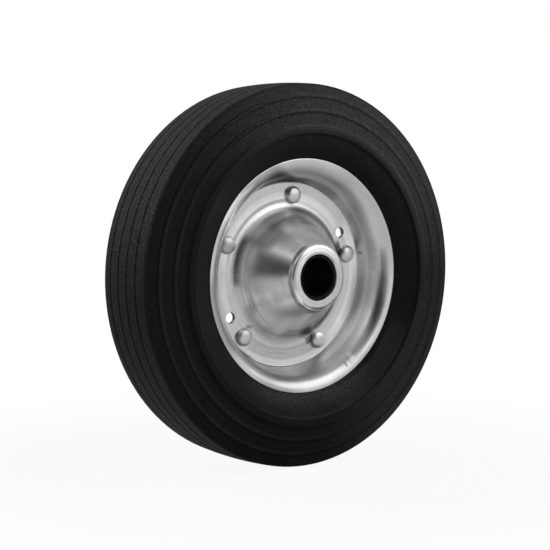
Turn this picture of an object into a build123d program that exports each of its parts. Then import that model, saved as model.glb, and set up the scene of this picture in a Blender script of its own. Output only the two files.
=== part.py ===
# Jockey wheel for a trailer or caravan: a solid rubber tyre on a rolled steel rim, with two pressed
# hub discs riveted back to back and a plastic bush for the axle.
# The origin is the middle of the wheel, the axle runs along Y, the front faces -Y, and +Z is up.
# Every section is drawn as (radius, height), with the height measured along the axle to the front.
import os
from math import asin, atan2, cos, hypot, radians, sin, sqrt

from build123d import *

# Tyre
tyre_diameter = 200.0
tyre_width = 50.0
tread_width = 36.2
tread_crown = 0.7
shoulder_radius = 0.5
sidewall_depth = 39.1

# Grooves round the tread, which sit a little to the rear
groove_count = 4
groove_pitch = 7.62
groove_width = 1.0
groove_depth = 0.9
groove_offset = 1.0

# Sidewall: a gentle bulge from the tread to a raised bead, with two fine ribs, all set in from the tread
sidewall_bulge = 0.9
rib_insets = (6.5, 14.4)
rib_height = 0.55
rib_outer_flank = 1.7
rib_inner_flank = 0.6
bead_inset = 20.7
bead_width = 5.2
bead_height = 1.35
bead_flank = 1.7
bead_outer_radius = 1.4
bead_inner_radius = 0.6
bead_step = 1.1
bead_step_run = 0.8
dish_sag = 1.0
rubber_below_lip = 0.6
tyre_bore_gap = 1.8

# Rim: one rolled channel with a narrow well and a lip each side
rim_width = 35.8
rim_depth = 11.9
rim_sheet = 1.2
rim_well_width = 2.2
rim_lip_run = 6.6
rim_well_bend = 0.5
rim_lip_bend = 7.2
rim_edge_radius = 0.4

# Hub: two pressed discs, each a flat ring, a cone and a nose
hub_length = 56.5
hub_sheet = 1.0
ring_width = 14.1
cone_crown = 0.6
cone_crown_bend = 200.0
cone_foot_bend = 6.2
nose_diameter = 34.6
collar_length = 2.8
neck_bend = 2.6
nose_bend = 1.6
disc_edge_radius = 0.4

# Rivets and the two see-through holes, on one circle of the ring
rivet_count = 5
rivet_inset = 7.1
rivet_first_angle = 5.7
rivet_shank_diameter = 5.0
rivet_head_diameter = 9.0
rivet_head_height = 2.9
rivet_head_side = 2.0
rivet_head_taper = 0.5
pilot_hole_diameter = 5.7
pilot_hole_angles = (60.3, 240.3)

# Bearing: a steel tube between the noses with a plastic bush through it
bush_diameter = 24.2
bore_diameter = 20.0
bush_recess = 0.6
bush_chamfer = 0.5
hub_tube_wall = 1.9

# Places that follow from the sizes
tread_radius = tyre_diameter / 2
shoulder_height = tread_width / 2
side_height = tyre_width / 2
bead_foot_radius = tread_radius - bead_inset
bead_end_radius = bead_foot_radius - bead_width
lip_radius = tread_radius - sidewall_depth
lip_height = rim_width / 2
corner_radius = lip_radius - rim_lip_run
well_radius = lip_radius - rim_depth
rivet_circle_radius = well_radius - rivet_inset
rivet_angles = [rivet_first_angle + index * 360 / rivet_count for index in range(rivet_count)]
cone_foot_radius = well_radius - ring_width
nose_radius = nose_diameter / 2
nose_height = hub_length / 2


def at(radius, height):
    """A point of a section: radius from the axle, height towards the front."""
    return (radius, -height)


def ring(section):
    """The solid that a section makes when it turns round the axle."""
    return revolve(section, Axis.Y, 360)


def rear_copy(shape):
    """The same shape on the other side of the wheel's middle plane."""
    return mirror(shape, about=Plane.XZ)


def clock_place(angle, radius):
    """A place on the wheel's face, by its clock angle as seen from the front."""
    return Pos(radius * sin(radians(angle)), 0, radius * cos(radians(angle)))


def sheet(path, thickness):
    """Section of a pressed sheet: its outer face follows the path, its back lies a thickness behind."""
    return make_face(offset(path, thickness, side=Side.RIGHT).edges())


def wall_height(radius):
    """Height of the plain sidewall, an arc from the tread's shoulder to the foot of the bead."""
    run = tread_radius - tread_crown - bead_foot_radius
    rise = side_height - bead_height - shoulder_height
    chord = hypot(run, rise)
    bend = (chord ** 2 / 4 + sidewall_bulge ** 2) / (2 * sidewall_bulge)
    reach = bend - sidewall_bulge
    centre_radius = bead_foot_radius + run / 2 - reach * rise / chord
    centre_height = shoulder_height + rise / 2 - reach * run / chord
    return centre_height + sqrt(bend ** 2 - (radius - centre_radius) ** 2)


def sidewall_lines():
    """Outline of the front sidewall, from the tread's shoulder down to the rim's lip."""
    shoulder = at(tread_radius - tread_crown, shoulder_height)
    foot = at(bead_foot_radius, side_height - bead_height)
    halfway = (tread_radius - tread_crown + bead_foot_radius) / 2
    wall = ThreePointArc(shoulder, at(halfway, wall_height(halfway)), foot)
    step = at(bead_end_radius - bead_step_run, side_height - bead_step)
    bead = FilletPolyline(
        foot,
        at(bead_foot_radius - bead_flank, side_height),
        at(bead_end_radius, side_height),
        step,
        radius=(bead_outer_radius, bead_inner_radius),
    )
    lip = at(lip_radius, lip_height - rubber_below_lip)
    dish_radius = (bead_end_radius - bead_step_run + lip_radius) / 2
    dish_height = (side_height - bead_step + lip_height - rubber_below_lip) / 2
    dish = ThreePointArc(step, at(dish_radius, dish_height - dish_sag), lip)
    return wall.edges() + bead.edges() + dish.edges()


def rib_section(inset):
    """One fine rib: a long shallow flank outside and a short steep one inside."""
    crest = tread_radius - inset
    outer = crest + rib_outer_flank
    inner = crest - rib_inner_flank
    points = [
        at(outer, wall_height(outer)),
        at(crest, wall_height(crest) + rib_height),
        at(inner, wall_height(inner)),
        at(crest, wall_height(crest) - rib_outer_flank),
    ]
    return make_face(Polyline(points, close=True))


def groove_section(height):
    """One groove across the tread, cut square with a round floor."""
    top = tread_radius + tread_crown
    floor = tread_radius - tread_crown * (height / shoulder_height) ** 2 - groove_depth
    half = groove_width / 2
    sides = Polyline(at(floor + half, height - half), at(top, height - half),
                     at(top, height + half), at(floor + half, height + half))
    bottom = ThreePointArc(at(floor + half, height + half), at(floor, height),
                           at(floor + half, height - half))
    return make_face(sides.edges() + bottom.edges())


def rim_path():
    """The face of the rim that shows, from the front lip through the well to the rear lip."""
    half_well = rim_well_width / 2
    return FilletPolyline(
        at(lip_radius, lip_height),
        at(corner_radius, lip_height),
        at(well_radius, half_well),
        at(well_radius, -half_well),
        at(corner_radius, -lip_height),
        at(lip_radius, -lip_height),
        radius=(
            rim_lip_bend + rim_sheet,
            rim_well_bend + rim_sheet,
            rim_well_bend + rim_sheet,
            rim_lip_bend + rim_sheet,
        ),
    )


def make_rim():
    """The rolled steel channel that carries the tyre."""
    section = sheet(rim_path(), rim_sheet)
    lip_corners = section.vertices().filter_by(lambda v: v.X > lip_radius - rim_edge_radius)
    return ring(fillet(lip_corners, rim_edge_radius))


def body_section():
    """The rubber outside the rim's lips, before its ribs and grooves."""
    front = sidewall_lines()
    rear = rear_copy(Curve(front)).edges()
    shoulder = tread_radius - tread_crown
    lip = lip_height - rubber_below_lip
    edge = at(shoulder, shoulder_height)
    tread = ThreePointArc(edge, at(tread_radius, 0), at(shoulder, -shoulder_height))
    mouth = Line(at(lip_radius, lip), at(lip_radius, -lip))
    section = make_face(front + rear + tread.edges() + mouth.edges())
    corners = section.vertices().filter_by(lambda v: v.X > shoulder - tread_crown)
    return fillet(corners, shoulder_radius)


def foot_section():
    """The rubber between the rim's walls, which stops short of the well."""
    mouth = Line(at(lip_radius, -lip_height), at(lip_radius, lip_height))
    channel = make_face(rim_path().edges() + mouth.edges())
    bore_radius = well_radius + rim_sheet + tyre_bore_gap
    return channel - Rectangle(2 * bore_radius, rim_width)


def make_tyre():
    """The solid rubber tyre, seated on the back of the rim's walls and lips."""
    section = body_section() + foot_section()
    for inset in rib_insets:
        section += rib_section(inset)
        section += rear_copy(rib_section(inset))
    for index in range(groove_count):
        place = (index - (groove_count - 1) / 2) * groove_pitch - groove_offset
        section -= groove_section(place)
    return ring(section - sheet(rim_path(), rim_sheet))


def cone_lines():
    """The outer face of a hub disc, from its rim seat over the cone to the nose opening."""
    ring_height = hub_sheet
    neck_height = nose_height - collar_length
    slope = atan2(neck_height - ring_height, cone_foot_radius - nose_radius)
    crown_radius = (cone_foot_radius + nose_radius) / 2 + cone_crown * sin(slope)
    crown_height = (ring_height + neck_height) / 2 + cone_crown * cos(slope)
    return FilletPolyline(
        at(well_radius, ring_height),
        at(cone_foot_radius, ring_height),
        at(crown_radius, crown_height),
        at(nose_radius, neck_height),
        at(nose_radius, nose_height),
        at(bush_diameter / 2, nose_height),
        radius=(cone_foot_bend, cone_crown_bend, neck_bend, nose_bend),
    )


def face_cuts():
    """Drills for the rivets and the two see-through holes, and the flat seats that the heads press."""
    reach = 4 * hub_sheet
    rivet_drill = Rot(90, 0, 0) * Cylinder(rivet_shank_diameter / 2, reach)
    pilot_drill = Rot(90, 0, 0) * Cylinder(pilot_hole_diameter / 2, reach)
    holes = [clock_place(angle, rivet_circle_radius) * rivet_drill for angle in rivet_angles]
    holes += [clock_place(angle, rivet_circle_radius) * pilot_drill for angle in pilot_hole_angles]
    head = Rot(90, 0, 0) * Cylinder(rivet_head_diameter / 2, rivet_head_side)
    head = Pos(0, -hub_sheet - rivet_head_side / 2, 0) * head
    seats = [clock_place(angle, rivet_circle_radius) * head for angle in rivet_angles]
    return holes + seats


def make_front_hub_disc():
    """One pressed disc: a ring that lies on its twin, a cone and a turned-in nose."""
    section = sheet(cone_lines(), hub_sheet)
    rim_corner = section.vertices().sort_by(Axis.X)[-2:].sort_by(Axis.Y)[0]
    section = fillet(rim_corner, disc_edge_radius)
    return ring(section) - face_cuts()


def rivet_half_lines():
    """Outline of a rivet from its middle to the top of its front head: a steep side, a shallow dome."""
    shank = rivet_shank_diameter / 2
    foot = rivet_head_diameter / 2
    brow = foot - rivet_head_taper
    brow_height = hub_sheet + rivet_head_side
    rise = rivet_head_height - rivet_head_side
    dome = (brow ** 2 + rise ** 2) / (2 * rise)
    halfway = asin(brow / dome) / 2
    side = Polyline(at(shank, 0), at(shank, hub_sheet), at(foot, hub_sheet), at(brow, brow_height))
    crown = at(dome * sin(halfway), brow_height + rise - dome + dome * cos(halfway))
    top = at(0, brow_height + rise)
    arc = ThreePointArc(at(brow, brow_height), crown, top)
    return side.edges() + arc.edges() + Line(top, at(0, 0)).edges()


def make_rivet(angle):
    """A round-headed rivet through both discs, with the same head formed at the rear."""
    front = rivet_half_lines()
    section = make_face(front + rear_copy(Curve(front)).edges())
    return clock_place(angle, rivet_circle_radius) * ring(section)


def make_hub_tube():
    """The steel tube that keeps the two noses apart."""
    inner = bush_diameter / 2
    half = nose_height - hub_sheet
    section = Pos(inner + hub_tube_wall / 2, 0) * Rectangle(hub_tube_wall, 2 * half)
    return ring(section)


def make_axle_bush():
    """The plastic bush that turns on the axle, set back a little from both noses."""
    wall = (bush_diameter - bore_diameter) / 2
    half = nose_height - bush_recess
    section = Pos(bore_diameter / 2 + wall / 2, 0) * Rectangle(wall, 2 * half)
    bore_corners = section.vertices().sort_by(Axis.X)[:2]
    return ring(chamfer(bore_corners, bush_chamfer))


def make_parts():
    """Every piece of the wheel by its name."""
    front_disc = make_front_hub_disc()
    parts = {
        "tyre": make_tyre(),
        "rim": make_rim(),
        "front_hub_disc": front_disc,
        "rear_hub_disc": rear_copy(front_disc),
        "hub_tube": make_hub_tube(),
        "axle_bush": make_axle_bush(),
    }
    for index, angle in enumerate(rivet_angles):
        parts[f"rivet_{index + 1}"] = make_rivet(angle)
    return parts


os.makedirs("parts", exist_ok=True)
for name, shape in make_parts().items():
    export_step(shape, f"parts/{name}.step")
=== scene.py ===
import math

import bpy
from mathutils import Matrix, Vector


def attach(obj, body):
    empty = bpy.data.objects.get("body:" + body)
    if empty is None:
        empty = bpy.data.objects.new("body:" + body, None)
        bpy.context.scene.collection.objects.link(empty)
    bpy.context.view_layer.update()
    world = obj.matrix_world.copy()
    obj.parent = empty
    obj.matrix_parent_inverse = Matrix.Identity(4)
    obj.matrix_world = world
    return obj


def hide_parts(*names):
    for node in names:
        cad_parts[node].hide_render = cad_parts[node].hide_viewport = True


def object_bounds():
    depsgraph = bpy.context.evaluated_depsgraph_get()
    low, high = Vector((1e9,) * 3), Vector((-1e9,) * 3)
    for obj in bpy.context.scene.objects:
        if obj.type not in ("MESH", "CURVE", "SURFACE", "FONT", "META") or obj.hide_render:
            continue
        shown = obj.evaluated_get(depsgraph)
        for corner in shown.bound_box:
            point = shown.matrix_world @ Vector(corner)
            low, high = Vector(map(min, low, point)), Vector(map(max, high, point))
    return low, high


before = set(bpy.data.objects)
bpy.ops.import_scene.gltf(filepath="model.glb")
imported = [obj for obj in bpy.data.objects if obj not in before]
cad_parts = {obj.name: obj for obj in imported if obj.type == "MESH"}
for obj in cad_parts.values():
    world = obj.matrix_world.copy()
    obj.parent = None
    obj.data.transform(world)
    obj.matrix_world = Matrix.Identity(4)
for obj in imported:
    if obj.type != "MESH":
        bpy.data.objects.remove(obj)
cad_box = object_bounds()

# The camera looks at the front of the wheel from the left and a little above, through a fairly long
# lens, as the photograph does. The hub's middle lies a little right of the picture's middle.
view_azimuth = math.radians(-37.45)
view_elevation = math.radians(4.75)
view_distance = 0.7908
view_right = 0.0053
view_up = 0.00055
picture_size = 550
focal_pixels = 1500.0

to_right = Vector((math.cos(view_azimuth), math.sin(view_azimuth), 0.0))
to_camera = Vector((
    math.sin(view_azimuth) * math.cos(view_elevation),
    -math.cos(view_azimuth) * math.cos(view_elevation),
    math.sin(view_elevation),
))
to_top = to_camera.cross(to_right)
lens = bpy.data.cameras.new("camera")
lens.lens = lens.sensor_width * focal_pixels / picture_size
lens.clip_start = 0.01
camera = bpy.data.objects.new("camera", lens)
camera.location = view_distance * to_camera - view_right * to_right - view_up * to_top
camera.rotation_euler = to_camera.to_track_quat("Z", "Y").to_euler()
bpy.context.scene.collection.objects.link(camera)
bpy.context.scene.camera = camera
bpy.context.scene.view_settings.view_transform = "Standard"


# The studio is a pale room that is dark on the photographer's side, so that the bright steel has
# something to mirror. The camera itself sees plain white behind the wheel.
class Number:
    """A socket in a node tree, so that shader maths is written as plain expressions."""

    def __init__(self, tree, socket):
        self.tree = tree
        self.socket = socket

    def maths(self, operation, *values):
        """One Math node on these values, each a number or another socket."""
        node = self.tree.nodes.new("ShaderNodeMath")
        node.operation = operation
        for place, value in zip(node.inputs, values):
            plug(self.tree, value, place)
        return Number(self.tree, node.outputs[0])

    def __add__(self, other):
        return self.maths("ADD", self, other)

    def __radd__(self, other):
        return self.maths("ADD", other, self)

    def __sub__(self, other):
        return self.maths("SUBTRACT", self, other)

    def __rsub__(self, other):
        return self.maths("SUBTRACT", other, self)

    def __mul__(self, other):
        return self.maths("MULTIPLY", self, other)

    def __rmul__(self, other):
        return self.maths("MULTIPLY", other, self)

    def __truediv__(self, other):
        return self.maths("DIVIDE", self, other)

    def __pow__(self, other):
        return self.maths("POWER", self, other)

    def at_least(self, other):
        """The greater of this value and another."""
        return self.maths("MAXIMUM", self, other)

    def at_most(self, other):
        """The lesser of this value and another."""
        return self.maths("MINIMUM", self, other)

    def size(self):
        """The value without its sign."""
        return self.maths("ABSOLUTE", self)

    def part(self):
        """What is left of the value above the whole number below it."""
        return self.maths("FRACT", self)

    def sine(self):
        return self.maths("SINE", self)

    def cosine(self):
        return self.maths("COSINE", self)

    def bearing(self, ahead):
        """The angle in radians of a point that lies this far aside and that far ahead."""
        return self.maths("ARCTAN2", self, ahead)


def plug(tree, value, place):
    """Puts a socket, a number or a colour into a node's input."""
    if isinstance(value, Number):
        tree.links.new(value.socket, place)
    else:
        place.default_value = value


class Tree:
    """A node tree, with one method that makes any node."""

    def __init__(self, tree):
        self.tree = tree

    def node(self, kind, settings=None, values=None, output=0):
        """A node of a kind, named without ShaderNode: first its settings, then its inputs."""
        prefix = "" if kind.startswith(("GeometryNode", "NodeGroup")) else "ShaderNode"
        node = self.tree.nodes.new(prefix + kind)
        for name, setting in (settings or {}).items():
            setattr(node, name, setting)
        for name, value in (values or {}).items():
            plug(self.tree, value, node.inputs[name])
        return None if output is None else Number(self.tree, node.outputs[output])

    def axes(self, vector):
        """The three numbers of a vector."""
        first = self.node("SeparateXYZ", values={"Vector": vector})
        return [Number(self.tree, place) for place in first.socket.node.outputs]

    def vector(self, right, back, up):
        """A vector from three numbers."""
        return self.node("CombineXYZ", values={"X": right, "Y": back, "Z": up})

    def fade(self, value, start, end):
        """A soft step from 0 to 1 as a value goes from start to end."""
        settings = {"interpolation_type": "SMOOTHSTEP"}
        return self.node("MapRange", settings, {"Value": value, "From Min": start, "From Max": end})


def heading(azimuth, elevation):
    """The direction with this azimuth, from the front to the right, and this elevation, in degrees."""
    turn, rise = math.radians(azimuth), math.radians(elevation)
    return (math.sin(turn) * math.cos(rise), -math.cos(turn) * math.cos(rise), math.sin(rise))


def studio_level(look, direction, plain, zones):
    """How bright the studio is in a direction from the wheel, before its soft boxes are lit.

    Each zone gives the azimuth and elevation of its middle, the angles from there at which it is
    full and at which it ends, all in degrees, and its own light.
    """
    level = plain
    for azimuth, elevation, inner, outer, light in zones:
        closeness = look.node("VectorMath", {"operation": "DOT_PRODUCT"},
                              {0: direction, 1: heading(azimuth, elevation)}, output="Value")
        share = look.fade(closeness, math.cos(math.radians(outer)), math.cos(math.radians(inner)))
        level = level + share * (light - level)
    return level


def make_look(owner):
    """Empties the node tree of a world or of a material for the stage."""
    owner.use_nodes = True
    owner.node_tree.nodes.clear()
    return Tree(owner.node_tree)


room_plain = 0.26
room_zones = (
    (5, 66, 22, 46, 0.74),
    (-55, 58, 8, 26, 0.74),
    (-58, 12, 21, 42, 0.02),
    (-24, 22, 19, 34, 0.0),
    (-100, 2, 5, 22, 0.30),
    (34, 0, 10, 24, 0.72),
)
white = (1.0, 1.0, 1.0, 1.0)

world = bpy.data.worlds.new("studio room")
bpy.context.scene.world = world
room = make_look(world)
level = studio_level(room, room.node("TexCoord", output="Generated"), room_plain, room_zones)
seen = room.node("LightPath", output="Is Camera Ray")
glow = room.node("Background", values={"Color": white, "Strength": level + seen * (1.0 - level)})
room.node("OutputWorld", values={"Surface": glow}, output=None)


# The key is a wide soft box to the right and in front, whose reflection runs round the steel lip.
# One behind lights the top of the tread.
def add_soft_box(name, azimuth, elevation, distance, width, height, power):
    """A rectangular area lamp that faces the middle of the wheel."""
    light = bpy.data.lights.new(name, "AREA")
    light.shape = "RECTANGLE"
    light.size = width
    light.size_y = height
    light.energy = power
    lamp = bpy.data.objects.new(name, light)
    place = Vector(heading(azimuth, elevation)) * distance
    lamp.location = place
    lamp.rotation_euler = place.to_track_quat("Z", "Y").to_euler()
    bpy.context.scene.collection.objects.link(lamp)


add_soft_box("key soft box", azimuth=36, elevation=30, distance=1.6,
             width=1.35, height=1.2, power=10.5)
add_soft_box("back soft box", azimuth=-160, elevation=34, distance=1.8,
             width=1.3, height=0.9, power=7.5)

# The floor is a sheet of pale paper just under the tread. It shows nearly white to the camera and
# keeps the soft shadow of the wheel.
floor_half = 6.0
floor_grey = (0.8, 0.8, 0.8, 1.0)
floor_glow = 0.93
floor_clear = 0.3
floor_plain = 0.44
floor_zones = (
    (-15, -24, 24, 46, 0.84),
    (-80, -20, 10, 30, 0.70),
    (34, -8, 10, 26, 0.70),
    (95, -4, 12, 34, 0.16),
    (-40, 0, 7, 17, 0.08),
    (0, -90, 14, 40, 0.24),
)

floor_mesh = bpy.data.meshes.new("floor")
floor_height = cad_box[0][2]
near, far = -floor_half, floor_half
corners = [(near, near), (far, near), (far, far), (near, far)]
floor_mesh.from_pydata([(right, back, floor_height) for right, back in corners], [], [(0, 1, 2, 3)])
floor = bpy.data.objects.new("floor", floor_mesh)
bpy.context.scene.collection.objects.link(floor)
paper_sheet = bpy.data.materials.new("pale paper")
paper = make_look(paper_sheet)
matt = paper.node("BsdfDiffuse", values={"Color": floor_grey})
spot = paper.node("TexCoord", output="Object")
outward = paper.node("VectorMath", {"operation": "NORMALIZE"}, {0: spot}, output="Vector")
to_eye = paper.node("LightPath", output="Is Camera Ray")
to_metal = paper.node("LightPath", output="Is Glossy Ray")
level = studio_level(paper, outward, floor_plain, floor_zones)
reach = paper.node("VectorMath", {"operation": "LENGTH"}, {0: spot}, output="Value")
clear = floor_glow + (1.0 - floor_glow) * paper.fade(reach, floor_clear / 2, floor_clear)
shine = paper.node("Emission", values={"Color": white, "Strength": to_eye + to_metal * level})
share = paper.node("MixShader", values={0: to_eye * clear + to_metal, 1: matt, 2: shine})
paper.node("OutputMaterial", values={"Surface": share}, output=None)
floor_mesh.materials.append(paper_sheet)


# The tyre is one moulding of solid black rubber, clamped by the rim's lips. The mould leaves a fine
# grain all over, a little coarser on the tread, and dust lies in the grooves. Its sheen and shade are
# painted into its tone by clock angle and radius.
class Finish(Tree):
    """A material under way, with places on the wheel in millimetres to work its colour out from."""

    def __init__(self, name, constants):
        self.owner = bpy.data.materials.new(name)
        self.owner.use_nodes = True
        super().__init__(self.owner.node_tree)
        self.shader = self.tree.nodes["Principled BSDF"]
        for socket, value in constants.items():
            self.shader.inputs[socket].default_value = value
        spot = self.node("TexCoord", output="Object")
        self.right, self.back, self.up = (value * 1000.0 for value in self.axes(spot))
        self.spot = self.vector(self.right, self.back, self.up)
        self.radius = (self.right * self.right + self.up * self.up) ** 0.5

    def towards(self, clock):
        """1 at this clock angle round the wheel, in degrees, and -1 opposite it."""
        turn = math.radians(clock)
        return (self.right * math.sin(turn) + self.up * math.cos(turn)) / self.radius

    def facing(self, clock, start, end):
        """A soft step from 0 to 1 as towards this clock angle goes from start to end."""
        return self.fade(self.towards(clock), start, end)

    def offset(self, clock, radius):
        """How far right of and above a place on the wheel the surface lies."""
        angle = math.radians(clock)
        return self.right - radius * math.sin(angle), self.up - radius * math.cos(angle)

    def noise(self, point, scale, detail=2.0, roughness=0.5):
        """Noise between 0 and 1 at a point."""
        values = {"Vector": point, "Scale": scale, "Detail": detail, "Roughness": roughness}
        return self.node("TexNoise", values=values)

    def paint(self, level, roughness, height):
        """Feeds the shader with a neutral colour's level, a roughness and a relief in millimetres."""
        colour = self.node("CombineColor", values={"Red": level, "Green": level, "Blue": level})
        bump = self.node("Bump", values={"Height": height, "Distance": 0.001})
        for socket, value in (("Base Color", colour), ("Roughness", roughness), ("Normal", bump)):
            plug(self.tree, value, self.shader.inputs[socket])

    def give(self, piece):
        """Puts the material on a piece, in place of what it had."""
        piece.data.materials.clear()
        piece.data.materials.append(self.owner)


rubber = Finish("black rubber", {"Specular IOR Level": 0.13})
tyre_radius = cad_box[1][0] * 1000.0
tread_edge = tyre_radius - 1.8
groove_top = tyre_radius - 0.5
groove_floor = tyre_radius - 1.1
bead_edge = 74.0


def ridge(start, crest, end):
    """A rise from 0 to 1 and a fall back to 0 between radii of the sidewall."""
    rise = (rubber.radius - start) / (crest - start)
    fall = (end - rubber.radius) / (end - crest)
    return rise.at_most(fall).at_least(0.0)


def stripe(start, end):
    """1 between two radii of the sidewall, with sharp ends."""
    soft = 0.25
    rise = rubber.fade(rubber.radius, start - soft, start)
    return rise * rubber.fade(rubber.radius, end + soft, end)


# The grain of the mould, and the specks and clouds in which dust clings to it.
grain = rubber.noise(rubber.spot, 1.5, 2.0, 0.6)
speck = rubber.fade(rubber.noise(rubber.spot, 1.8, 1.5), 0.40, 0.74)
cloud = rubber.noise(rubber.spot, 0.05, 3.0)

# The parts of the tyre by radius.
tread = rubber.fade(rubber.radius, tread_edge, tread_edge + 0.4)
groove = tread * rubber.fade(rubber.radius, groove_top, groove_floor)
dish = rubber.fade(rubber.radius, bead_edge, bead_edge - 0.4)
inward = rubber.fade(rubber.radius, 73.0, 61.5)
crest = ridge(76.8, 77.6, 79.2) + ridge(84.9, 85.2, 87.2) * 1.3 + ridge(92.6, 92.9, 94.9) * 1.3

# The sides of the wheel by clock angle.
upper = rubber.facing(27, -0.25, 1.05) ** 2.0
right_side = rubber.facing(132, 0.74, 0.98)
lower_right = rubber.facing(141, 0.85, 0.98)
low = rubber.facing(180, 0.72, 1.0)
under = rubber.facing(260, -0.1, 0.6)
far_left = rubber.facing(264, 0.92, 1.0)
left_side = rubber.facing(300, 0.1, 0.8)
upper_left = rubber.facing(314, 0.55, 0.95)

# Painted sheen on the sidewall: lighter on the upper side, on its crests and at the right, less by the
# bead at the top, and a little lighter on the flanks below.
side_sheen = 0.001 + upper * (0.053 + crest * 0.028) + right_side * 0.019
side_sheen = side_sheen * (1.0 - stripe(74.2, 75.6) * upper * 0.5)
side_sheen = side_sheen + (ridge(82.8, 84.2, 85.2) + ridge(90.8, 92.2, 93.2)) * under * 0.013

# Painted sheen in the dish: lighter low down and towards the rim, and in bands at the top, the lower
# right and along the edge by the bead.
dish_sheen = (rubber.facing(250, -0.4, 0.5) * 0.010 + low * 0.036) * (0.15 + inward)
dish_sheen = dish_sheen + upper * ridge(65.0, 71.8, 73.6) * 0.020
dish_sheen = dish_sheen + lower_right * stripe(63.6, 73.0) * 0.020
dish_sheen = dish_sheen + low * ridge(72.2, 73.3, bead_edge) * 0.022

# Dust on the tread is coarser, and thicker in the grooves. Painted sheen lightens it at the left and
# the upper left, and painted shade darkens it at the far left.
tread_dust_and_sheen = 0.014 + left_side * 0.010 + upper_left * 0.032 + groove * 0.016
tread_dust_and_sheen = tread_dust_and_sheen * (1.0 - far_left * 0.35)
coarse = tread * 0.8

# Painted shade: dark lines beside the ribs, under their crests, by the rim's lip and at the shoulder.
rib_line_shade = (stripe(83.8, 84.7) + stripe(91.6, 92.4)) * rubber.facing(40, -0.4, 0.3)
shade = (stripe(85.5, 86.4) + stripe(93.4, 94.2) + stripe(77.4, 78.1)) * under
lip_shade = stripe(60.0, 64.0) * rubber.facing(108, 0.70, 0.95)
shoulder_shade = stripe(98.1, 99.3) * rubber.fade(rubber.back.size(), 16.6, 17.4)
shoulder_shade = shoulder_shade * rubber.facing(255, -0.3, 0.4)

# The dust and the painted sheen of the sidewall, the dish and the tread, joined.
dust_and_sheen = side_sheen + dish * (dish_sheen - side_sheen)
dust_and_sheen = dust_and_sheen + tread * (tread_dust_and_sheen - dust_and_sheen)
# Specks show on the bare rubber, with a little painted sheen on them at the upper left.
bare = 0.0002 + speck * (0.0060 + left_side * 0.0030)
level = bare + dust_and_sheen * ((0.30 - coarse * 0.3) + speck * (1.2 + coarse) + cloud * 0.2)
# The dark lines and the shoulder take painted shade, and the sidewall and tread are painted darker at
# the bottom.
level = level * (1.0 - rib_line_shade * 0.55) * (1.0 - shade * 0.9) * (1.0 - lip_shade * 0.8)
level = level * (1.0 - shoulder_shade * 0.7) * (1.0 - low * (1.0 - dish) * 0.3)

# The real ribs rise more gently from the inside than the solid's: the relief takes each of the
# solid's ribs away and puts the real one in its place.
ribs = ridge(83.3, 85.2, 86.4) - ridge(85.0, 85.6, 87.3)
ribs = ribs + ridge(90.9, 92.8, 94.0) - ridge(92.9, 93.5, 95.2)
height = grain * (0.9 + coarse * 0.8) + ribs * 0.8
rubber.paint(level, 0.40 + grain * 0.16, height)
rubber.give(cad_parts["tyre"])

# The rim is rolled from zinc plated steel strip: a narrow well, two walls and a lip that rolls over
# each side. The bright plating keeps the fine lines of the rolling. Its light and shade, and the shade
# where the discs are seated in the well, are painted into its tone.
class Steel(Finish):
    """Zinc plated steel sheet, with the tools to paint light and shade on it and to place what is
    duller, brighter or marked on it.
    """

    def __init__(self, name, light, roughness):
        """Fine lines run round the sheet, smears across it, and clouds and mottle lie over it."""
        super().__init__(name, {"Metallic": 1.0})
        self.clock = self.right.bearing(self.up)
        self.front = self.fade(self.back, 0.0, -0.4)
        lines = self.noise(self.vector(self.radius, self.back, 0.0), 1.6, 3.0, 0.6)
        cloud = self.noise(self.spot, 0.07, 3.0)
        across = self.vector(self.clock * 16.0, self.radius * 0.14, self.back * 0.14)
        self.smear = self.noise(across, 1.0, 3.0, 0.6)
        mottle = self.noise(self.spot, 0.55, 3.0, 0.6)
        self.tone = light * (0.76 + cloud * 0.16 + self.smear * 0.16 + mottle * 0.16)
        self.roughness = roughness + cloud * 0.08
        self.height = lines * 0.010 + self.smear * 0.014 + mottle * 0.006

    def band(self, value, start, end, soft):
        """1 where a value lies between two ends, with a soft edge."""
        return self.fade(value, start - soft, start) * self.fade(value, end + soft, end)

    def arc(self, clock, half_angle, soft):
        """1 near a clock angle of the front, in degrees, with soft ends."""
        inner = math.cos(math.radians(half_angle))
        outer = math.cos(math.radians(half_angle + soft))
        return self.facing(clock, outer, inner) * self.front

    def mark(self, clock, radius, half_length, half_width, turn):
        """A short ragged mark on the front, turned from the radial direction in degrees."""
        aside, above = self.offset(clock, radius)
        turned = math.radians(clock + turn)
        along = aside * math.sin(turned) + above * math.cos(turned)
        across = aside * math.cos(turned) - above * math.sin(turned)
        ragged = self.noise(self.spot, 1.1, 2.0) - 0.5
        length = (along.size() + ragged * half_length * 0.8) / half_length
        width = (across.size() + ragged * half_width * 0.8) / half_width
        return self.fade(length, 1.3, 0.6) * self.fade(width, 1.3, 0.5) * self.front

    def lighten(self, mask, share):
        """Adds a share of light under a mask, for painted highlights and reflections and for cleaner
        plating alike.
        """
        self.tone = self.tone * (1.0 + mask * share)

    def darken(self, mask, share):
        """Takes a share of the light away under a mask, for painted shade and for duller plating
        alike.
        """
        self.tone = self.tone * (1.0 - mask * share)

    def shade(self, value, places, texture=1.0):
        """Lightens arcs of the front, or darkens them where the share is below 0.

        Each place gives the start, end and soft edge of the band of values that it covers, then
        the clock angle, half width and soft ends of its arc in degrees, and last its share.
        """
        for start, end, edge, clock, half_angle, ends, share in places:
            mask = self.band(value, start, end, edge) * self.arc(clock, half_angle, ends)
            self.lighten(mask, share * texture)

    def scuff(self, places):
        """Makes dark marks, each from what mark asks for and a share, which lightens below 0."""
        for *place, share in places:
            self.darken(self.mark(*place), share)

    def finish(self):
        """Feeds the shader with what has been gathered."""
        self.paint(self.tone, self.roughness, self.height)


rim_steel = Steel("rolled rim steel", 0.68, 0.29)

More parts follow.
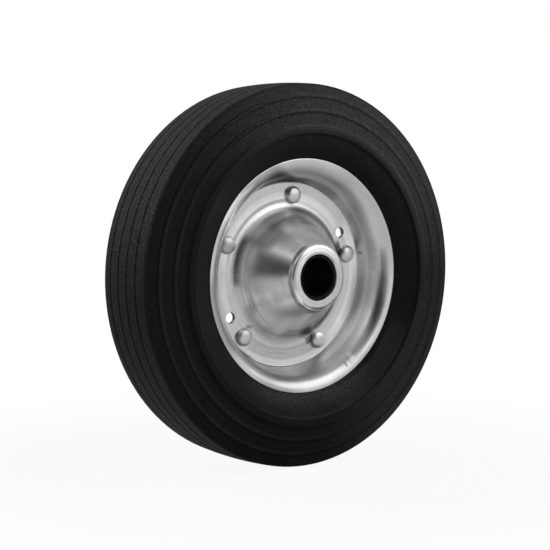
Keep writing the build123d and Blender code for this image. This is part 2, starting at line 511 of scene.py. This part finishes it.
# Places beyond the sheet's two ends, for bands that run on to an end.
past_lip = -19.0
inside_wall = 45.0

# Painted shade in the well by the discs' edge, at the left, where disc and rim meet.
well_seat_shade = rim_steel.band(rim_steel.back.size(), 0.0, 1.3, 0.5)
rim_steel.darken(well_seat_shade * rim_steel.facing(90, 0.6, -0.2), 0.6)

# Painted shade in the bowl at the upper left, reaching out towards the lip where it begins.
deeper = rim_steel.back + rim_steel.arc(322, 15, 27) * 10.5
hollow_shade = rim_steel.fade(deeper, -9.0, -5.0)
rim_steel.darken(hollow_shade * rim_steel.arc(335, 20, 14), 0.56)
rim_steel.darken(hollow_shade * rim_steel.arc(355, 10, 14), 0.84)

# Painted highlights, reflections and shade on the lip and the wall, by depth from the lip's edge to
# the well.
rim_steel.shade(rim_steel.back, (
    (-6.5, 0.0, 2.0, 20, 8, 12, -0.40),
    (past_lip, -15.8, 1.2, 173, 30, 14, -0.33),
    (past_lip, -17.2, 0.6, 266, 26, 14, -0.36),
    (past_lip, -17.8, 0.3, 294, 16, 12, 0.60),
    (-17.6, -17.0, 0.3, 314, 5, 8, 0.80),
    (-16.8, -15.0, 0.4, 288, 8, 8, 0.90),
    (-16.6, -14.5, 0.5, 315, 4, 8, -0.50),
    (-16.8, -15.3, 0.6, 88, 5, 8, -0.35),
    (past_lip, -16.0, 2.0, 56, 22, 16, -0.18),
    (-13.0, -8.0, 2.0, 52, 10, 14, 0.35),
    (-7.0, 0.0, 2.0, 100, 50, 16, 0.40),
    (-12.5, -5.0, 3.0, 140, 18, 14, 0.35),
    (-0.8, 0.0, 0.6, 120, 70, 20, 0.40),
    (past_lip, -17.9, 0.4, 163, 16, 14, 0.35),
))

# Painted shade low on the wall, by radius, where it is also rubbed matt.
wall_top = 53.5
wall_soft = 3.0
rim_steel.shade(rim_steel.radius, (
    (inside_wall, wall_top, wall_soft, 185, 34, 24, -0.26),
    (inside_wall, wall_top, wall_soft, 181, 8, 16, -0.22),
    (inside_wall, wall_top, wall_soft, 213, 14, 18, -0.35),
    (inside_wall, 56.0, 2.0, 122, 14, 22, -0.22),
))
low_wall = rim_steel.fade(rim_steel.radius, wall_top + wall_soft, wall_top)
rim_steel.roughness = rim_steel.roughness + low_wall * rim_steel.arc(180, 40, 30) * 0.12

# Rolling lines run round the inner wall. Scuffs lie by the discs' edge and across the lower lip.
round_wall = rim_steel.vector(rim_steel.radius * 2.2, rim_steel.clock * 2.0, 0.0)
drawn = rim_steel.noise(round_wall, 1.0, 3.0)
rim_steel.darken(rim_steel.band(rim_steel.back.size(), 0.0, 9.0, 5.0) * drawn, 0.16)
rim_steel.scuff((
    (79, 49.8, 0.3, 0.7, 0, 0.60),
    (150.0, 56.3, 1.2, 0.50, 8, 0.75),
    (146.9, 57.2, 0.9, 0.30, 0, 0.40),
    (144.0, 54.8, 1.6, 1.6, 0, -0.40),
))
rim_steel.finish()
rim_steel.give(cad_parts["rim"])

# Two discs are pressed from zinc plated sheet, each a flat ring, a cone and a nose. They lie back to
# back, riveted and seated in the rim. The press leaves faint rings and a row of fine hairs in the
# plating, and the fork rubs the nose bright.
rivet_names = sorted(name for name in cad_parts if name.startswith("rivet"))
rivet_spacing = 360.0 / len(rivet_names)
rivet_circle = 41.9
rivet_first = 5.7
head_radius = 4.5
hole_clocks = (60.3, 240.3)
hole_radius = 2.85

disc_steel = Steel("pressed disc steel", 0.68, 0.27)

# Radii beyond the sheet's outer and inner edge, for bands that run on to an edge.
past_ring = 50.0
inside_nose = 10.0

# The press leaves slow rings of tone and height, and the ring rises a little towards its edge.
zones = disc_steel.noise(disc_steel.vector(disc_steel.radius * 0.55, 0.0, 0.0), 1.0, 2.0)
disc_steel.tone = disc_steel.tone * (0.88 + zones * 0.22)
outer_ring = (disc_steel.radius - 40.5).at_least(0.0)
disc_steel.height = disc_steel.height + zones * 0.03 + outer_ring * 0.09

# The cut edge is rough, with a painted highlight along it at the right. The foot of the cone is matt.
cut_edge = disc_steel.fade(disc_steel.radius, 48.3, 48.6)
disc_steel.lighten(cut_edge * disc_steel.arc(110, 75, 25), 0.65)
foot = disc_steel.band(disc_steel.radius, 34.5, 38.5, 1.0)
disc_steel.roughness = disc_steel.roughness + cut_edge * 0.15 + foot * 0.12

# Painted shade and highlights on the flat ring, by radius.
disc_steel.shade(disc_steel.radius, (
    (41.0, past_ring, 2.0, 148, 5, 18, -0.10),
    (44.5, 48.5, 2.0, 100, 25, 25, 0.42),
    (40.4, 42.5, 1.4, 330, 70, 25, 0.25),
    (38.2, 39.3, 0.7, 325, 30, 20, -0.35),
    (48.3, past_ring, 0.6, 288, 74, 12, -0.75),
    (39.5, 44.5, 1.5, 182, 26, 12, -0.26),
))

# A ring of painted shade lies round each rivet's head, where it meets the disc. The wheel is folded to
# one rivet's sector.
turn = (disc_steel.clock * math.degrees(1.0) - rivet_first) / rivet_spacing + 0.5
fold = (turn.part() - 0.5) * math.radians(rivet_spacing)
beside = disc_steel.radius * fold.sine()
outside = disc_steel.radius * fold.cosine() - rivet_circle
from_rivet = (beside * beside + outside * outside) ** 0.5
head_ring_shade = disc_steel.fade(from_rivet, head_radius + 0.5, head_radius + 0.05)
on_ring = disc_steel.fade(disc_steel.back.size(), 2.2, 1.6)
disc_steel.darken(head_ring_shade * on_ring, 0.55)

# The walls of the two holes are painted dark, as shade in the holes.
for clock in hole_clocks:
    aside, above = disc_steel.offset(clock, rivet_circle)
    from_hole = (aside * aside + above * above) ** 0.5
    disc_steel.darken(disc_steel.fade(from_hole, hole_radius + 0.25, hole_radius + 0.05), 0.85)

# Fine hairs stand across the lower ring, and three smudges lie by the foot and on the cone.
across_ring = disc_steel.vector(disc_steel.clock * 110.0, disc_steel.radius * 0.25, 0.0)
hairs = disc_steel.noise(across_ring, 1.0, 2.0)
hair_zone = disc_steel.band(disc_steel.radius, 40.5, 45.0, 1.5) * disc_steel.arc(185, 30, 25)
disc_steel.darken(hair_zone * disc_steel.fade(hairs, 0.35, 0.65), 0.10)
disc_steel.scuff((
    (223.7, 36.0, 1.6, 0.9, 60, 0.50),
    (250, 30.5, 10.0, 0.9, 90, 0.18),
    (166, 33.0, 8.0, 2.0, 90, 0.15),
))

# The cone has fine streaks down it, faint traces round it and, at the left, uneven dark lines.
down_cone = disc_steel.vector(disc_steel.clock * 45.0, disc_steel.radius * 0.05, 0.0)
streaks = disc_steel.noise(down_cone, 1.0, 3.0, 0.7)
cone = disc_steel.fade(disc_steel.radius, 35.0, 32.0)
disc_steel.darken(cone * disc_steel.fade(streaks, 0.4, 0.7), 0.07)
round_cone = disc_steel.vector(disc_steel.radius * 1.6, disc_steel.clock * 1.5, 0.0)
traces = disc_steel.noise(round_cone, 1.0, 2.0)
disc_steel.darken(disc_steel.fade(traces, 0.56, 0.70) * disc_steel.arc(222, 30, 35), 0.16)
disc_steel.shade(disc_steel.radius, (
    (33.2, 34.6, 0.9, 284, 17, 8, -0.60),
    (31.1, 31.35, 0.3, 262, 24, 20, -0.20),
    (32.4, 32.65, 0.3, 272, 18, 20, -0.22),
    (29.9, 30.15, 0.3, 238, 10, 20, -0.24),
), texture=0.55 + disc_steel.smear * 0.7)

# Painted shade on the foot and the cone, by radius, then the painted highlights.
disc_steel.shade(disc_steel.radius, (
    (28.0, 35.0, 2.0, 40, 26, 18, -0.40),
    (33.6, 36.0, 1.0, 85, 70, 20, -0.42),
    (36.2, 38.8, 0.7, 72, 3, 6, -0.80),
    (27.5, 33.5, 3.0, 150, 12, 12, -0.45),
    (37.6, 40.6, 0.8, 156.5, 2, 3, -0.65),
    (29.2, 32.2, 1.2, 173, 12, 12, -0.42),
    (16.4, 17.0, 0.4, 284, 10, 8, -0.50),
    (18.5, 26.0, 2.0, 322, 7, 10, -0.28),
    (34.2, 35.2, 0.5, 343, 22, 12, -0.35),
))
disc_steel.shade(disc_steel.radius, (
    (18.0, 30.5, 3.0, 209, 18, 16, 0.55),
    (19.0, 27.0, 2.0, 212, 12, 10, 0.20),
    (24.5, 28.5, 1.5, 242, 5, 9, 0.30),
    (17.4, 18.6, 1.6, 284, 6, 16, 0.40),
    (24.5, 29.0, 2.5, 293, 2, 12, 0.55),
    (18.0, 24.0, 2.5, 298, 2, 20, 0.60),
    (25.5, 30.0, 1.5, 333, 7, 9, 0.22),
    (25.5, 29.0, 1.5, 8, 6, 9, 0.30),
))
# Painted light under the foot at the upper left, where the sheet is also made rougher.
under_foot = disc_steel.band(disc_steel.radius, 31.6, 34.0, 2.0) * disc_steel.arc(334, 4, 24)
disc_steel.lighten(under_foot, 0.85)
disc_steel.roughness = disc_steel.roughness + under_foot * 0.12

# The nose is rubbed bright and dips towards the bore. Painted shade darkens its inner edge at the top,
# and where it turns into the cone it has a painted highlight at the top and painted shade below and at
# the left.
nose = disc_steel.fade(disc_steel.back.size(), 27.4, 28.0)
disc_steel.lighten(nose, 0.12)
disc_steel.height = disc_steel.height - nose * disc_steel.radius * 0.11
disc_steel.shade(disc_steel.radius, (
    (inside_nose, 13.0, 0.6, 8, 40, 20, -0.45),
    (15.9, 17.4, 0.4, 15, 30, 20, 0.45),
    (15.4, 18.5, 0.5, 165, 22, 18, -0.50),
    (15.8, 17.4, 0.4, 192, 22, 12, -0.50),
    (15.2, 16.6, 0.5, 285, 26, 18, -0.32),
))
disc_steel.finish()
disc_steel.give(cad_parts["front_hub_disc"])
disc_steel.give(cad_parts["rear_hub_disc"])

# Five steel rivets hold the discs together. Each has a head with a steep side and a shallow, roughly
# hammered top on both faces. One tree makes them all, and every head is a little different.
rivet_sizes = {
    "Count": len(rivet_names),
    "Circle": rivet_circle / 1000,
    "First Angle": math.radians(rivet_first),
    "Seat": 0.001,
    "Head Radius": head_radius / 1000,
    "Head Height": 0.0029,
    "Dome": 0.24,
    "Shank Radius": 0.0025,
    "Hammering": 0.00012,
}
head_segments = 56
head_rings = 36
shank_sides = 32

# A head's outline: the powers make its edge, side and dome fuller the lower they are, and its
# underside sinks into the disc by a share of its height.
edge_power = 0.45
side_power = 0.33
dome_power = 0.9
sunk_share = 0.12
blows_to_metre = 420.0


def add_inputs(work, sizes):
    """Gives a geometry tree its output and its named inputs, and returns the inputs by name."""
    interface = work.tree.interface
    interface.new_socket(name="Geometry", in_out="OUTPUT", socket_type="NodeSocketGeometry")
    for name, size in sizes.items():
        kind = "NodeSocketInt" if isinstance(size, int) else "NodeSocketFloat"
        interface.new_socket(name=name, in_out="INPUT", socket_type=kind).default_value = size
    source = work.node("NodeGroupInput").socket.node
    return {name: Number(work.tree, source.outputs[name]) for name in sizes}


def make_rivet_tree(material):
    """The tree that makes the heads on both faces and the shanks between them."""
    tree = bpy.data.node_groups.new("riveting", "GeometryNodeTree")
    work = Tree(tree)
    inputs = add_inputs(work, rivet_sizes)

    # A head is a ball that is pushed out to a steep side and a shallow dome.
    ball = work.node("GeometryNodeMeshUVSphere",
                     values={"Segments": head_segments, "Rings": head_rings, "Radius": 1.0})
    across, along, up = work.axes(work.node("GeometryNodeInputPosition"))
    girth = (across * across + along * along) ** 0.5
    spread = inputs["Head Radius"] * girth ** edge_power
    top = up.at_least(0.0) ** side_power
    top = top * (1.0 - inputs["Dome"] * girth ** dome_power)
    height = inputs["Head Height"] * (top + up.at_most(0.0) * sunk_share)
    shape = work.vector(across / girth * spread, along / girth * spread, height)
    head = work.node("GeometryNodeSetPosition", values={"Geometry": ball, "Position": shape})
    shank = work.node("GeometryNodeMeshCylinder", values={
        "Vertices": shank_sides, "Radius": inputs["Shank Radius"], "Depth": inputs["Seat"] * 2.0})

    # One point for each rivet stands on the circle: heads go on both faces and shanks between.
    points = work.node("GeometryNodePoints", values={"Count": inputs["Count"]})
    index = work.node("GeometryNodeInputIndex")
    angle = inputs["First Angle"] + index * math.tau / inputs["Count"]
    right = inputs["Circle"] * angle.sine()
    up = inputs["Circle"] * angle.cosine()
    parts = work.node("GeometryNodeJoinGeometry")
    quarter = math.radians(90)
    for mesh, side, turn in ((head, -1.0, quarter), (head, 1.0, -quarter), (shank, 0.0, quarter)):
        spot = work.vector(right, inputs["Seat"] * side, up)
        placed = work.node("GeometryNodeSetPosition", values={"Geometry": points, "Position": spot})
        copies = work.node("GeometryNodeInstanceOnPoints", values={
            "Points": placed, "Instance": mesh, "Rotation": (turn, 0.0, 0.0)})
        plug(tree, copies, parts.socket.node.inputs["Geometry"])
    real = work.node("GeometryNodeRealizeInstances", values={"Geometry": parts})

    # Hammer blows leave the crowns uneven, and the foot of each head as it was.
    here = work.node("GeometryNodeInputPosition")
    back = work.axes(here)[1]
    crown = work.fade(back.size(), inputs["Seat"], inputs["Seat"] + inputs["Head Height"])
    blows = work.node("TexNoise", values={"Vector": here, "Scale": blows_to_metre, "Detail": 2.0})
    strength = (blows * 2.0 - 1.0) * crown * inputs["Hammering"]
    push = work.node("VectorMath", {"operation": "SCALE"},
                     {0: work.node("GeometryNodeInputNormal"), "Scale": strength})
    uneven = work.node("GeometryNodeSetPosition", values={"Geometry": real, "Offset": push})
    smooth = work.node("GeometryNodeSetShadeSmooth", values={"Geometry": uneven})
    done = work.node("GeometryNodeSetMaterial", values={"Geometry": smooth, "Material": material})
    work.node("NodeGroupOutput", values={"Geometry": done}, output=None)
    return tree


def grow(name, tree, sizes):
    """A plain mesh object that holds what a geometry tree makes with these sizes."""
    blank = bpy.data.objects.new(name + " blank", bpy.data.meshes.new(name + " blank"))
    bpy.context.scene.collection.objects.link(blank)
    maker = blank.modifiers.new("maker", "NODES")
    maker.node_group = tree
    for item in tree.interface.items_tree:
        if item.in_out == "INPUT":
            maker[item.identifier] = sizes[item.name]
    made = blank.evaluated_get(bpy.context.evaluated_depsgraph_get())
    mesh = bpy.data.meshes.new_from_object(made)
    mesh.name = name
    bpy.data.objects.remove(blank)
    piece = bpy.data.objects.new(name, mesh)
    bpy.context.scene.collection.objects.link(piece)
    return piece


rivet_steel = Finish("hammered rivet steel", {"Metallic": 1.0})
mottle = rivet_steel.noise(rivet_steel.spot, 0.9, 3.0, 0.6)
# The rivets at the left are painted darker, as shade over their heads' highlight.
left_rivet_shade = rivet_steel.fade(rivet_steel.right, -32.0, -36.0)
tone = (0.50 + mottle * 0.22) * (1.0 - left_rivet_shade * 0.3)
rivet_steel.paint(tone, 0.34 + mottle * 0.14, mottle * 0.07)
rivets = grow("rivets", make_rivet_tree(rivet_steel.owner), rivet_sizes)
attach(rivets, "root")
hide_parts(*rivet_names)

# A drawn steel tube keeps the two noses apart. A bush moulded from black plastic is pressed into it
# and runs on the axle, which leaves fine rings round the bore.
tube_steel = Steel("drawn tube steel", 0.58, 0.3)
tube_steel.finish()
tube_steel.give(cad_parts["hub_tube"])
plastic = Finish("black plastic", {"Specular IOR Level": 0.08})
rings = plastic.noise(plastic.vector(plastic.radius * 3.0, plastic.back, 0.0), 1.0, 2.0)
plastic.paint(0.003 + rings * 0.005, 0.35 + rings * 0.15, rings * 0.02)
plastic.give(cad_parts["axle_bush"])
